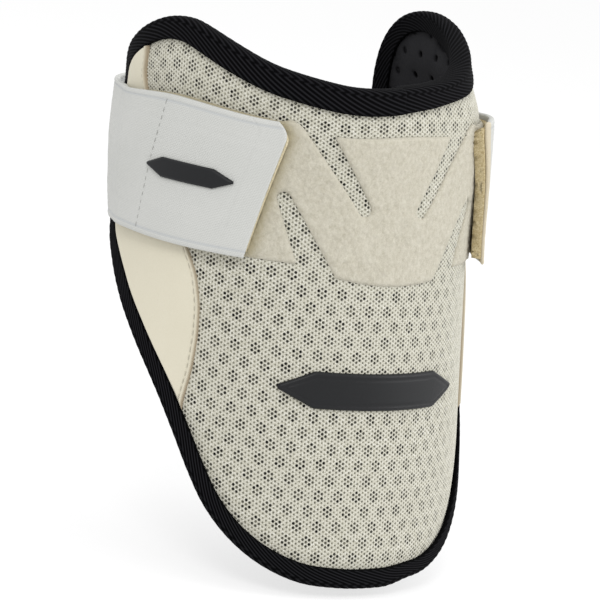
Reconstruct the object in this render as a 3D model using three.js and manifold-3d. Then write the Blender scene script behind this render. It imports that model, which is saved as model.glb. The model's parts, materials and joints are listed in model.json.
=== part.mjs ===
// Baseball elbow guard
// A padded net body wraps the outside of the bent arm, with a tongue down over the
// forearm and a wing up each side. A wide elastic strap runs round the back, and its
// two ends fasten with hook tape to a slotted loop panel on the front.
// Millimetres, +Z up along the arm, the front faces -Y, and the origin lies on the
// axis of the arm hollow at half the width of the strap.

import * as THREE from 'three';
import { mergeVertices } from 'three/addons/utils/BufferGeometryUtils.js';
import Module from 'manifold-3d';

// Body: its outer face is a leaning cone, and its outline is drawn flat and wrapped on
const frontHeight = 175.5;      // bottom of the tongue to the dip between the wings
const rightWingRise = 21.5;     // top of the right wing above that dip
const leftWingRise = 14.5;      // top of the left wing above that dip
const wingReach = 133;          // along the face, from the centreline to a wing's back edge
const neckRadius = 63;          // outer face at the dip
const tongueRadius = 76.5;      // outer face at the bottom of the tongue
const tongueForward = 7;        // how far the tongue's axis lies in front of the neck's

// Layers, from the outer face inwards and outwards
const coverThickness = 3;
const liningThickness = 4.5;
const panelThickness = 1.2;
const bindingThickness = 1.2;
const bindingWidth = 7.5;       // from the body's edge to the edge of the tape
const layerGap = 0.3;           // between any two layers
const foldGap = 0.8;            // between the body's edge and the fold of the tape

// Strap
const strapWidth = 51;
const strapThickness = 2.2;
const strapCentre = 138.5;      // above the bottom of the tongue
const strapEndTop = 42;         // end of the strap, from the centreline, near its top edge
const strapEndBottom = 55;      // and at its bottom edge
const strapCorner = 9;          // height of the cut-off upper corner of each end
const strapCornerRun = 6.3;     // and its length along the strap
const hookThickness = 1.5;
const hookLength = 54;          // hook tape under each end
const hookInset = 2;            // of the hook tape from the edges of the strap
const strapRampStart = 2;       // past the hook tape, where the strap comes down
const strapRampLength = 12;     // and how long it takes to lie on the panels

// Loop panel
const panelHalfSpan = 36;       // centreline to the outer end of the upper slots
const panelTopDrop = 18;        // top edge at the centreline, below the dip between the wings
const panelSag = 5.5;           // bottom edge at the centreline, below the strap
const panelShoulder = 14.4;     // over which the top edge rises to the strap's
const slotWidth = 4;            // at the closed end
const slotMouth = 9;            // at the open end

// Vent holes through the lining of each wing
const ventDiameter = 2.4;
const ventPitchAlong = 6.3;
const ventPitchUp = 7.2;
const ventRows = 5;
const ventColumns = 5;
const ventTopRise = 5;          // top row above the dip between the wings

// Badges
const frontBadgeLength = 78;
const frontBadgeHeight = 13;
const frontBadgeThickness = 1.8;
const frontBadgeCentre = 70;    // above the bottom of the tongue
const strapBadgeLength = 34;
const strapBadgeHeight = 7;
const strapBadgeThickness = 1.1;
const strapBadgeAlong = 75;     // from the centreline
const badgeBevel = 0.5;
const badgeTipWidth = 0.12;     // of the pointed end, as a share of the badge's height

// Right half of the body's outline, from the dip round the wing to the tongue
// along: share of wingReach; height: share of frontHeight; rise: share of the wing's rise
const outlineRows = [
  { along: 0.000, height: 1.000, rise: 0.00 },
  { along: 0.165, height: 1.000, rise: 0.09 },
  { along: 0.338, height: 1.000, rise: 0.31 },
  { along: 0.496, height: 1.000, rise: 0.63 },
  { along: 0.632, height: 1.000, rise: 0.91 },
  { along: 0.729, height: 1.000, rise: 1.00 },
  { along: 0.827, height: 1.000, rise: 0.88 },
  { along: 0.902, height: 1.000, rise: 0.54 },
  { along: 0.959, height: 0.995, rise: 0.00 },
  { along: 0.989, height: 0.900, rise: 0.00 },
  { along: 1.000, height: 0.786, rise: 0.00 },
  { along: 0.992, height: 0.672, rise: 0.00 },
  { along: 0.962, height: 0.601, rise: 0.00 },
  { along: 0.902, height: 0.550, rise: 0.00 },
  { along: 0.827, height: 0.496, rise: 0.00 },
  { along: 0.752, height: 0.442, rise: 0.00 },
  { along: 0.684, height: 0.382, rise: 0.00 },
  { along: 0.632, height: 0.328, rise: 0.00 },
  { along: 0.579, height: 0.262, rise: 0.00 },
  { along: 0.530, height: 0.199, rise: 0.00 },
  { along: 0.474, height: 0.137, rise: 0.00 },
  { along: 0.398, height: 0.080, rise: 0.00 },
  { along: 0.316, height: 0.040, rise: 0.00 },
  { along: 0.211, height: 0.011, rise: 0.00 },
  { along: 0.105, height: 0.002, rise: 0.00 },
  { along: 0.000, height: 0.000, rise: 0.00 },
];
const upperCornerRow = 8;       // the back edge of a wing runs between these two rows
const lowerCornerRow = 12;
const wingTopRow = 5;

// Front edge of a side panel, from its low point up
// along: share of wingReach; height: share of frontHeight
const sidePanelRows = [
  { along: 0.568, height: 0.325 },
  { along: 0.544, height: 0.400 },
  { along: 0.533, height: 0.470 },
  { along: 0.533, height: 0.530 },
  { along: 0.549, height: 0.590 },
  { along: 0.590, height: 0.650 },
  { along: 0.660, height: 0.730 },
  { along: 0.735, height: 0.830 },
  { along: 0.795, height: 0.930 },
  { along: 0.812, height: 0.975 },
  { along: 0.800, height: 1.020 },
];

// Slots of the loop panel, from the closed end to the open one
// along: share of panelHalfSpan; height: share of the panel's height at the centreline
const slotRows = [
  { closedAlong: 0.36, closedHeight: 0.54, openAlong: 0.99, openHeight: 1.16 },
  { closedAlong: 1.15, closedHeight: 0.54, openAlong: 0.74, openHeight: -0.08 },
];

// Rows of points across the strap and the hook tape, as shares of their width
const strapRowShares = [0, 0.5, 0.84, 0.95, 1];

// Divisions
const bodyColumns = 44;
const bodyRows = 8;
const ventSides = 5;
const bindingSteps = 84;
const tapeEdgeSteps = 400;
const sidePanelColumns = 8;
const sidePanelRowCount = 20;
const loopPanelColumns = 34;
const loopPanelRows = 6;
const slotEndSteps = 5;
const strapColumns = 60;
const hookColumns = 12;
const badgeColumns = 16;
const badgeRows = 4;

// Clearances of the construction
const cutMargin = 2;            // how far a slot's cutter passes either face
const sidePanelTip = 1.5;       // width of a side panel where it runs out at the tape

const wasm = await Module();
wasm.setup();

const mix = THREE.MathUtils.lerp;
const smooth = THREE.MathUtils.smoothstep;
const bodyThickness = coverThickness + layerGap + liningThickness;
const panelFace = layerGap + panelThickness;
const strapBottom = strapCentre - strapWidth / 2;
const strapTop = strapCentre + strapWidth / 2;
const panelWaistTop = frontHeight - panelTopDrop;
const panelWaistBottom = strapBottom - panelSag;

// Outer face of the body: a place on the flat pattern, and how far it stands proud
function faceRadius(height) {
  return mix(tongueRadius, neckRadius, height / frontHeight);
}

function facePoint(along, height, proud) {
  const angle = along / faceRadius(height);
  const radius = faceRadius(height) + proud;
  const up = Math.min(height / frontHeight, 1);
  const axisForward = tongueForward * (1 - up) * (1 - up);
  return new THREE.Vector3(
    radius * Math.sin(angle), -axisForward - radius * Math.cos(angle), height);
}

// Outline of the body on the flat pattern
function outlinePoint(row, side) {
  const rise = side > 0 ? rightWingRise : leftWingRise;
  return new THREE.Vector3(
    side * row.along * wingReach, row.height * frontHeight + row.rise * rise, 0);
}

function outlineLoop() {
  const right = outlineRows.map((row) => outlinePoint(row, 1));
  const left = outlineRows.slice(1, -1).reverse().map((row) => outlinePoint(row, -1));
  return new THREE.CatmullRomCurve3([...right, ...left], true, 'centripetal');
}

const outline = outlineLoop();
const outlineSpans = 2 * (outlineRows.length - 1);

function onOutline(row) {
  return outline.getPoint((row / outlineSpans + 1) % 1);
}

// The four edges of the body's pattern, each as a function of 0 to 1
const leftLowerRow = outlineSpans - lowerCornerRow;
const leftUpperRow = outlineSpans - upperCornerRow;
const bottomEdge = (share) => onOutline(mix(leftLowerRow, lowerCornerRow, share));
const topEdge = (share) => onOutline(mix(-upperCornerRow, upperCornerRow, share));
const leftEdge = (share) => onOutline(mix(leftLowerRow, leftUpperRow, share));
const rightEdge = (share) => onOutline(mix(lowerCornerRow, upperCornerRow, share));

// A place inside the pattern, blended from the four edges
function patternPoint(u, v) {
  const place = new THREE.Vector3();
  place.addScaledVector(bottomEdge(u), 1 - v);
  place.addScaledVector(topEdge(u), v);
  place.addScaledVector(leftEdge(v), 1 - u);
  place.addScaledVector(rightEdge(v), u);
  place.addScaledVector(bottomEdge(0), -(1 - u) * (1 - v));
  place.addScaledVector(bottomEdge(1), -u * (1 - v));
  place.addScaledVector(topEdge(0), -(1 - u) * v);
  place.addScaledVector(topEdge(1), -u * v);
  return place;
}

// A closed sheet: a divided box whose points are moved to place(u, v, w), each 0 to 1
function sheet(columns, rows, place, layers = 1) {
  const geometry = new THREE.BoxGeometry(1, 1, 1, columns, rows, layers);
  const points = geometry.attributes.position;
  for (let i = 0; i < points.count; i += 1) {
    const moved = place(points.getX(i) + 0.5, points.getY(i) + 0.5, points.getZ(i) + 0.5);
    points.setXYZ(i, moved.x, moved.y, moved.z);
  }
  return welded(geometry);
}

function welded(geometry) {
  geometry.deleteAttribute('normal');
  geometry.deleteAttribute('uv');
  return mergeVertices(geometry, 1e-4);
}

// Joins and cuts
function toSolid(geometry) {
  return new wasm.Manifold(new wasm.Mesh({
    numProp: 3,
    vertProperties: new Float32Array(geometry.attributes.position.array),
    triVerts: new Uint32Array(geometry.index.array),
  }));
}

function toGeometry(solid) {
  const mesh = solid.getMesh();
  const geometry = new THREE.BufferGeometry();
  geometry.setAttribute('position', new THREE.BufferAttribute(mesh.vertProperties, 3));
  geometry.setIndex(new THREE.BufferAttribute(mesh.triVerts, 1));
  return geometry;
}

function cut(geometry, cutters) {
  let solid = toSolid(geometry);
  for (const cutter of cutters) solid = solid.subtract(toSolid(cutter));
  return toGeometry(solid);
}

// Padded body
function bodyLayer(outerFace, thickness) {
  return sheet(bodyColumns, bodyRows, (u, v, w) => {
    const place = patternPoint(u, v);
    return facePoint(place.x, place.y, outerFace - thickness * (1 - w));
  });
}

function coverGeometry() {
  return bodyLayer(0, coverThickness);
}

function ventGeometry(along, height) {
  const vent = new THREE.CylinderGeometry(
    ventDiameter / 2, ventDiameter / 2, liningThickness + 2 * layerGap, ventSides);
  const middle = facePoint(along, height, -coverThickness - layerGap - liningThickness / 2);
  const outside = facePoint(along, height, 0);
  const outward = outside.sub(middle).normalize();
  vent.applyQuaternion(
    new THREE.Quaternion().setFromUnitVectors(new THREE.Vector3(0, 1, 0), outward));
  vent.translate(middle.x, middle.y, middle.z);
  return welded(vent);
}

function ventGeometries() {
  const vents = [];
  const middleAlong = outlineRows[wingTopRow].along * wingReach;
  for (const side of [-1, 1]) {
    for (let row = 0; row < ventRows; row += 1) {
      for (let column = 0; column < ventColumns; column += 1) {
        const shift = column - (ventColumns - 1) / 2 + (row % 2) / 2;
        vents.push(ventGeometry(
          side * (middleAlong + shift * ventPitchAlong),
          frontHeight + ventTopRise - row * ventPitchUp));
      }
    }
  }
  return vents;
}

function liningGeometry() {
  return cut(bodyLayer(-coverThickness - layerGap, liningThickness), ventGeometries());
}

// Edge binding: a folded tape all round the outline
function bindingSection() {
  const shell = layerGap + bindingThickness;
  const fold = foldGap + bindingThickness;
  const inner = -bodyThickness - layerGap;
  const round = bodyThickness / 5;
  return [
    [bindingWidth, layerGap],
    [bindingWidth, shell],
    [0, shell],
    [-fold, -round],
    [-fold, round - bodyThickness],
    [0, inner - bindingThickness],
    [bindingWidth, inner - bindingThickness],
    [bindingWidth, inner],
    [-foldGap, inner],
    [-foldGap, layerGap],
    [bindingWidth, layerGap],
  ].map(([inward, proud]) => new THREE.Vector2(inward, proud));
}

// A place on the pattern, moved inwards from the outline at a share of its length
function insideOutline(share, inward) {
  const place = outline.getPointAt(share % 1);
  const tangent = outline.getTangentAt(share % 1);
  place.x += tangent.y * inward;
  place.y -= tangent.x * inward;
  return place;
}

function bindingGeometry() {
  const section = bindingSection();
  const geometry = new THREE.LatheGeometry(section, bindingSteps);
  const points = geometry.attributes.position;
  for (let i = 0; i < points.count; i += 1) {
    const share = Math.floor(i / section.length) / bindingSteps;
    const corner = section[i % section.length];
    const place = insideOutline(share, corner.x);
    const moved = facePoint(place.x, place.y, corner.y);
    points.setXYZ(i, moved.x, moved.y, moved.z);
  }
  return welded(geometry);
}

// The edge of the binding tape on one side, as the distance from the centreline
function tapeEdgeAt(height, side) {
  let reach = 0;
  for (let i = 0; i < tapeEdgeSteps; i += 1) {
    const a = insideOutline(i / tapeEdgeSteps, bindingWidth + layerGap);
    const b = insideOutline((i + 1) / tapeEdgeSteps, bindingWidth + layerGap);
    const crosses = (a.y - height) * (b.y - height) <= 0 && a.y !== b.y;
    const along = side * mix(a.x, b.x, (height - a.y) / (b.y - a.y));
    if (crosses && along > reach) reach = along;
  }
  return reach;
}

// Side panels
function sidePanelFront(height) {
  const rows = sidePanelRows.map((row) => ({
    along: row.along * wingReach, height: row.height * frontHeight }));
  const next = rows.findIndex((row) => row.height >= height);
  if (next < 1) return next === 0 ? rows[0].along : rows[rows.length - 1].along;
  const share = (height - rows[next - 1].height) / (rows[next].height - rows[next - 1].height);
  return mix(rows[next - 1].along, rows[next].along, share);
}

// The height, going up or down from the strap, where the panel meets the tape
function sidePanelLimit(side, direction) {
  let height = strapCentre;
  while (tapeEdgeAt(height, side) - sidePanelFront(height) > sidePanelTip) {
    height += direction * layerGap;
  }
  return height;
}

function sidePanelGeometry(side) {
  const low = sidePanelLimit(side, -1);
  const high = sidePanelLimit(side, 1);
  const edges = [];
  for (let row = 0; row <= sidePanelRowCount; row += 1) {
    const height = mix(low, high, row / sidePanelRowCount);
    const front = sidePanelFront(height);
    edges.push({ front, back: Math.max(tapeEdgeAt(height, side), front + sidePanelTip) });
  }
  return sheet(sidePanelColumns, sidePanelRowCount, (u, v, w) => {
    const edge = edges[Math.round(v * sidePanelRowCount)];
    const share = side > 0 ? u : 1 - u;
    const along = side * mix(edge.front, edge.back, share);
    return facePoint(along, mix(low, high, v), layerGap + panelThickness * w);
  });
}

// Loop panel
function loopPanelTop(along) {
  const out = Math.abs(along);
  const lift = smooth(out, panelHalfSpan, panelHalfSpan + panelShoulder);
  return mix(panelWaistTop, strapTop, lift);
}

function loopPanelBottom(along) {
  const out = Math.abs(along);
  const lift = Math.min(out / panelHalfSpan, 1) ** 2;
  return mix(panelWaistBottom, strapBottom, lift);
}

function loopPanelEnd(height) {
  return sidePanelFront(height) - layerGap;
}

function slotCutter(closed, open) {
  const from = new THREE.Vector2(closed.along, closed.height);
  const to = new THREE.Vector2(open.along, open.height);
  const run = to.clone().sub(from);
  const shape = new THREE.Shape();
  const half = slotWidth / 2;
  shape.moveTo(0, -half);
  shape.lineTo(run.length(), -slotMouth / 2);
  shape.lineTo(run.length(), slotMouth / 2);
  shape.lineTo(0, half);
  shape.absarc(0, 0, half, Math.PI / 2, 1.5 * Math.PI, false);
  const depth = panelThickness + 2 * cutMargin;
  const geometry = new THREE.ExtrudeGeometry(
    shape, { depth, bevelEnabled: false, curveSegments: slotEndSteps });
  const angle = Math.atan2(run.y, run.x);
  geometry.rotateZ(angle);
  geometry.translate(from.x, from.y, 0);
  const points = geometry.attributes.position;
  for (let i = 0; i < points.count; i += 1) {
    const proud = points.getZ(i) + layerGap - cutMargin;
    const moved = facePoint(points.getX(i), points.getY(i), proud);
    points.setXYZ(i, moved.x, moved.y, moved.z);
  }
  return welded(geometry);
}

function slotCutters() {
  const panelHeight = panelWaistTop - panelWaistBottom;
  const end = (side, along, height) => ({
    along: side * along * panelHalfSpan, height: panelWaistBottom + height * panelHeight });
  return [-1, 1].flatMap((side) => slotRows.map((row) => slotCutter(
    end(side, row.closedAlong, row.closedHeight), end(side, row.openAlong, row.openHeight))));
}

function loopPanelGeometry() {
  const body = sheet(loopPanelColumns, loopPanelRows, (u, v, w) => {
    const side = u < 0.5 ? -1 : 1;
    const out = Math.abs(u - 0.5) * 2;
    let height = mix(strapBottom, strapTop, v);
    const along = side * out * loopPanelEnd(height);
    height = mix(loopPanelBottom(along), loopPanelTop(along), v);
    return facePoint(along, height, layerGap + panelThickness * w);
  });
  return cut(body, slotCutters());
}

// Strap: one band round the back, its two ends on the front
function strapEnd(share) {
  const straight = mix(strapEndBottom, strapEndTop, share);
  const corner = Math.max(0, 1 - (1 - share) * strapWidth / strapCorner);
  return straight + strapCornerRun * corner * corner;
}

function strapProud(along) {
  const overHook = panelFace + layerGap + hookThickness + layerGap;
  const overPanel = panelFace + layerGap;
  const ramp = strapEndBottom + hookLength + strapRampStart;
  return mix(overHook, overPanel, smooth(along, ramp, ramp + strapRampLength));
}

function strapGeometry() {
  const rows = strapRowShares.length - 1;
  return sheet(strapColumns, rows, (u, v, w) => {
    const share = strapRowShares[Math.round(v * rows)];
    const height = mix(strapBottom, strapTop, share);
    const round = 2 * Math.PI * faceRadius(height);
    const along = mix(strapEnd(share), round - strapEnd(share), u);
    const fromFront = Math.min(along, round - along);
    return facePoint(along, height, strapProud(fromFront) + strapThickness * w);
  });
}

function hookTabGeometry(side) {
  const rows = strapRowShares.length - 1;
  const face = panelFace + layerGap;
  return sheet(hookColumns, rows, (u, v, w) => {
    const share = strapRowShares[Math.round(v * rows)];
    const height = mix(strapBottom + hookInset, strapTop - hookInset, share);
    const reach = side > 0 ? u : 1 - u;
    const along = side * (strapEnd(share) + mix(-hookInset / 2, hookLength, reach));
    return facePoint(along, height, face + hookThickness * w);
  });
}

// Badges: a low moulded bar with pointed ends and a bevelled edge
function badgeGeometry(centreAlong, centreHeight, length, height, thickness, seat) {
  const point = height / length;
  return sheet(badgeColumns, badgeRows, (u, v, w) => {
    const fromEnd = Math.min(u, 1 - u);
    const width = mix(badgeTipWidth, 1, Math.min(fromEnd / point, 1));
    const edge = Math.min(Math.min(v, 1 - v) * badgeRows, fromEnd * badgeColumns, 1);
    const along = centreAlong + (u - 0.5) * length;
    const up = centreHeight + (v - 0.5) * height * width;
    const crest = thickness - badgeBevel * (1 - edge);
    return facePoint(along, up, seat + crest * w);
  });
}

function frontBadgeGeometry() {
  return badgeGeometry(
    0, frontBadgeCentre, frontBadgeLength, frontBadgeHeight, frontBadgeThickness, layerGap);
}

function strapBadgeGeometry() {
  const seat = strapProud(strapBadgeAlong) + strapThickness + layerGap;
  return badgeGeometry(
    -strapBadgeAlong, strapCentre, strapBadgeLength, strapBadgeHeight, strapBadgeThickness, seat);
}

// Finishes
const finishes = {
  net: new THREE.MeshStandardMaterial({ color: 0xe0ddd0, roughness: 0.9, metalness: 0 }),
  lining: new THREE.MeshStandardMaterial({ color: 0x262628, roughness: 0.85, metalness: 0 }),
  tape: new THREE.MeshStandardMaterial({ color: 0x151516, roughness: 0.8, metalness: 0 }),
  side: new THREE.MeshStandardMaterial({ color: 0xddd5c1, roughness: 0.75, metalness: 0 }),
  loop: new THREE.MeshStandardMaterial({ color: 0xd0cab9, roughness: 1, metalness: 0 }),
  strap: new THREE.MeshStandardMaterial({ color: 0xd2d3cf, roughness: 0.85, metalness: 0 }),
  hook: new THREE.MeshStandardMaterial({ color: 0xc4b089, roughness: 0.9, metalness: 0 }),
  badge: new THREE.MeshStandardMaterial({ color: 0x2a2b2d, roughness: 0.45, metalness: 0 }),
};

function piece(name, geometry, finish) {
  const mesh = new THREE.Mesh(geometry, finish);
  mesh.name = name;
  return mesh;
}

const guard = new THREE.Group();
guard.add(
  piece('mesh_cover', coverGeometry(), finishes.net),
  piece('foam_lining', liningGeometry(), finishes.lining),
  piece('edge_binding', bindingGeometry(), finishes.tape),
  piece('side_panel_left', sidePanelGeometry(-1), finishes.side),
  piece('side_panel_right', sidePanelGeometry(1), finishes.side),
  piece('loop_panel', loopPanelGeometry(), finishes.loop),
  piece('strap', strapGeometry(), finishes.strap),
  piece('hook_tab_left', hookTabGeometry(-1), finishes.hook),
  piece('hook_tab_right', hookTabGeometry(1), finishes.hook),
  piece('front_badge', frontBadgeGeometry(), finishes.badge),
  piece('strap_badge', strapBadgeGeometry(), finishes.badge),
);
guard.position.z = -strapCentre;

const part = new THREE.Group();
part.add(guard);
export default part;
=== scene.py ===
# Baseball elbow guard, for the render
# Every piece is drawn flat on the guard's pattern, in millimetres, and wrapped on the
# body's leaning cone: along is measured round the face from the front centreline,
# height from the bottom of the tongue, and proud outwards from the net's face.
# Most sizes repeat those of the construction source. The strap's ends, the slots, the loop
# panel's top, the tape round the tongue and the soft set of the cloth follow the photo.

import json
import math

import bpy
import numpy as np
from mathutils import Matrix, Vector

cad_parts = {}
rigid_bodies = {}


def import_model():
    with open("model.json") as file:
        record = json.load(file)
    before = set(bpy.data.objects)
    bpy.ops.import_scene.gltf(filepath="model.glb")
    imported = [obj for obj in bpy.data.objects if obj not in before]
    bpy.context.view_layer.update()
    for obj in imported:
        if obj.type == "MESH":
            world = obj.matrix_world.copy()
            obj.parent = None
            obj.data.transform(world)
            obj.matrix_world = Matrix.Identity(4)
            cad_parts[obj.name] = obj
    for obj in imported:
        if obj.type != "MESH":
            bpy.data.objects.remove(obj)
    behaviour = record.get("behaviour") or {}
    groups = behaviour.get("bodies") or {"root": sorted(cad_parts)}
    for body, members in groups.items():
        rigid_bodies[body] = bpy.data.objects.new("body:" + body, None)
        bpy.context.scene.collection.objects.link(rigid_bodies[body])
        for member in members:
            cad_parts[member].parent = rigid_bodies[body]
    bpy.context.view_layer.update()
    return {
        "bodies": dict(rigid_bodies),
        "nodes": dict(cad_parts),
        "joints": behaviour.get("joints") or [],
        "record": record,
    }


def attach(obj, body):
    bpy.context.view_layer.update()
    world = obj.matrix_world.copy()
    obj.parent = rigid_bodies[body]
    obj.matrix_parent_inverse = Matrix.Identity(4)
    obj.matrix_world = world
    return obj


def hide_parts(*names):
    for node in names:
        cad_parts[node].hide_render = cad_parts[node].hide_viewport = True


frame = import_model()
chance = np.random.default_rng(7)

# Body
FRONT_HEIGHT = 175.5
RIGHT_WING_RISE = 21.5
LEFT_WING_RISE = 14.5
WING_REACH = 133
NECK_RADIUS = 63
TONGUE_RADIUS = 76.5
TONGUE_FORWARD = 7
COVER_THICKNESS = 3
LINING_THICKNESS = 4.5
PANEL_THICKNESS = 1.2
BINDING_THICKNESS = 1.2
BINDING_WIDTH = 7.5
LAYER_GAP = 0.3
FOLD_GAP = 0.8
BODY_THICKNESS = COVER_THICKNESS + LAYER_GAP + LINING_THICKNESS
PANEL_FACE = LAYER_GAP + PANEL_THICKNESS
EDGE_SQUEEZE = 3.0              # by which the tape presses the lining thinner at the edge

# The tape's set. A pair is a range, along or up, over which something comes in or fades.
TAPE_LOW_SHARE = 0.66           # of its full width, round the tongue
TAPE_WIDENS = (70, 150)
TAPE_RIGHT_LESS = 0.24          # by which its share falls on the right wing
TAPE_RIGHT_ALONG = (-20, 28)
TAPE_LEFT_LESS = 0.15
TAPE_LEFT_OUT = (60, 90)
TAPE_CORNER_LESS = 0.15         # at the tongue's lower right corner
CORNER_ALONG = (5, 20)
CORNER_HEIGHTS = (12, 32)
TAPE_PULL = 2.0                 # how far the tape is drawn in round the tongue
LEFT_PULL = 1.3                 # how much farther on the left side
LEFT_PULL_HEIGHTS = (15, 50)
RIGHT_PULL = 1.6                # and at the lower right corner
TAPE_PULL_FADES = (90, 150)

# Strap and hook tape
STRAP_WIDTH = 51
STRAP_THICKNESS = 2.2
STRAP_CENTRE = 138.5
STRAP_END_TOP = 40.3
STRAP_END_BOTTOM = 53.2
STRAP_CORNER = 7
STRAP_CORNER_RUN = 4.6
HOOK_THICKNESS = 1.5
HOOK_LENGTH = 54
HOOK_INSET = 2
STRAP_RAMP_START = 2
STRAP_RAMP_LENGTH = 12
STRAP_BOTTOM = STRAP_CENTRE - STRAP_WIDTH / 2
STRAP_TOP = STRAP_CENTRE + STRAP_WIDTH / 2
HOOK_FACE = PANEL_FACE + LAYER_GAP
STRAP_OVER_HOOK = HOOK_FACE + HOOK_THICKNESS + LAYER_GAP

# Loop panel
PANEL_HALF_SPAN = 36
PANEL_TOP_DROP = 15
PANEL_SAG = 5.5
PANEL_SHOULDER = 14.4
PANEL_WAIST_TOP = FRONT_HEIGHT - PANEL_TOP_DROP
PANEL_WAIST_BOTTOM = STRAP_BOTTOM - PANEL_SAG
SLOT_WIDTH = 5
SLOT_MOUTH = (9, 13)
# Closed end and open end: along as a share of the half span, height of the panel's
SLOTS = [((0.34, 0.50), (1.00, 1.16)), ((1.15, 0.52), (0.69, -0.08))]

# Badges
FRONT_BADGE = {"along": 0, "height": 70, "length": 78, "width": 13, "thick": 1.8}
STRAP_BADGE = {"along": -75, "height": STRAP_CENTRE, "length": 34, "width": 7, "thick": 1.1}
BADGE_BEVEL = 0.5
BADGE_TIP_WIDTH = 0.12

# Outline of the right half: along, height and rise, as shares of their sizes
OUTLINE_ROWS = [
    (0.000, 1.000, 0.00), (0.165, 1.000, 0.09), (0.338, 1.000, 0.31),
    (0.496, 1.000, 0.63), (0.632, 1.000, 0.91), (0.729, 1.000, 1.00),
    (0.827, 1.000, 0.88), (0.902, 1.000, 0.54), (0.959, 0.995, 0.00),
    (0.989, 0.900, 0.00), (1.000, 0.786, 0.00), (0.992, 0.672, 0.00),
    (0.962, 0.601, 0.00), (0.902, 0.550, 0.00), (0.827, 0.496, 0.00),
    (0.752, 0.442, 0.00), (0.684, 0.382, 0.00), (0.632, 0.328, 0.00),
    (0.579, 0.262, 0.00), (0.530, 0.199, 0.00), (0.474, 0.137, 0.00),
    (0.398, 0.080, 0.00), (0.316, 0.040, 0.00), (0.211, 0.011, 0.00),
    (0.105, 0.002, 0.00), (0.000, 0.000, 0.00),
]

# How the soft guard sits in the photo, away from the even cone of the construction
RIGHT_LEAN = 4.2                # of the right wing's top towards the arm
LEFT_LEAN = -2.9                # of the left wing's top, outwards
LEFT_LEAN_OUT = (60, 110)
LEAN_HEIGHTS = (160, 194)
WINGS_END = (155, 200)
STRAP_PRESS = 2.8               # of the strap on the left wing's lower part
PRESS_OUT = (70, 110)
PRESS_LOW, PRESS_HIGH = (70, 105), (112, 150)
RIGHT_SWELL = 2.4               # of the pad under the strap's right end
SWELL_FRONT, SWELL_BACK = (24, 44), (110, 140)
SWELL_LOW, SWELL_HIGH = (112, 150), (164, 185)
RIGHT_END_RISE = 2.0            # of that end's upper corner
END_OUT, END_PROUD, END_HEIGHTS = (60, 95), (1.6, 3.4), (113, 164)
BACK_DROP = 5.0                 # of the strap at the back
LEFT_BACK, RIGHT_BACK = (172, 200), (112, 160)
NECK_SAG = 3.0                  # left of the middle
SAG_HEIGHTS, SAG_OUT, SAG_ALONG = (130, 176), (45, 85), (-24, 10)
LEFT_DROP = 8.0                 # of the left wing's outer corner
DROP_OUT, DROP_HEIGHTS = (82, 118), (150, 188)

# Front edge of a side panel: along and height, as shares of their sizes
SIDE_PANEL_ROWS = [
    (0.568, 0.325), (0.544, 0.400), (0.533, 0.470), (0.533, 0.530), (0.549, 0.590),
    (0.590, 0.650), (0.660, 0.730), (0.735, 0.830), (0.795, 0.930), (0.812, 0.975),
    (0.800, 1.020),
]
SIDE_PANEL_SHIFT = 2.4          # of that edge towards the front, as the cloth is pulled there


def mix(a, b, share):
    return a + (b - a) * share


def smooth(x, low, high):
    share = np.clip((x - low) / (high - low), 0, 1)
    return share * share * (3 - 2 * share)


def fade(x, low, high):
    return 1 - smooth(x, low, high)


def bell(x, width):
    return np.exp(-(x / width) ** 2)


# From the flat pattern to the body's face
def face_radius(height):
    return mix(TONGUE_RADIUS, NECK_RADIUS, height / FRONT_HEIGHT)


def settled(along, height, proud):
    """The soft guard as the photo shows it: the wings lean, the neck sags, the strap presses."""
    circle = 2 * math.pi * face_radius(height)
    along = (along + circle / 2) % circle - circle / 2
    out, left = np.abs(along), along < 0
    near = fade(out, *WINGS_END)
    lean = np.where(left, LEFT_LEAN * smooth(out, *LEFT_LEAN_OUT) * near, RIGHT_LEAN * near)
    press = np.where(left, STRAP_PRESS, 0) * smooth(out, *PRESS_OUT) * near
    proud = (proud - lean * smooth(height, *LEAN_HEIGHTS)
             - press * smooth(height, *PRESS_LOW) * fade(height, *PRESS_HIGH))
    pad = np.where(left, 0, smooth(out, *SWELL_FRONT) * fade(out, *SWELL_BACK))
    end = np.where(left, 0, fade(out, *END_OUT)) * smooth(proud, *END_PROUD)
    proud = proud + RIGHT_SWELL * pad * smooth(height, *SWELL_LOW) * fade(height, *SWELL_HIGH)
    sag = smooth(height, *SAG_HEIGHTS) * fade(out, *SAG_OUT) * (1 - end) * fade(along, *SAG_ALONG)
    drop = np.where(left, smooth(out, *DROP_OUT), 0) * near * smooth(height, *DROP_HEIGHTS)
    back = np.where(left, smooth(out, *LEFT_BACK), smooth(out, *RIGHT_BACK))
    height = (height + RIGHT_END_RISE * end * smooth(height, *END_HEIGHTS)
              - BACK_DROP * back - NECK_SAG * sag - LEFT_DROP * drop)
    return along, height, proud


def wrapped(along, height, proud):
    """Points of the row frame, in millimetres."""
    along, height, proud = np.broadcast_arrays(*map(np.asarray, (along, height, proud)))
    along, height, proud = settled(along, height, proud)
    angle = along / face_radius(height)
    reach = face_radius(height) + proud
    forward = TONGUE_FORWARD * (1 - np.minimum(height / FRONT_HEIGHT, 1)) ** 2
    return np.stack([
        reach * np.sin(angle), -forward - reach * np.cos(angle), height - STRAP_CENTRE,
    ], -1)


# Outline of the body, as a dense closed line on the pattern, anticlockwise
def outline_point(row, side):
    along, height, rise = row
    wing = RIGHT_WING_RISE if side > 0 else LEFT_WING_RISE
    return (side * along * WING_REACH, height * FRONT_HEIGHT + rise * wing)


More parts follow.
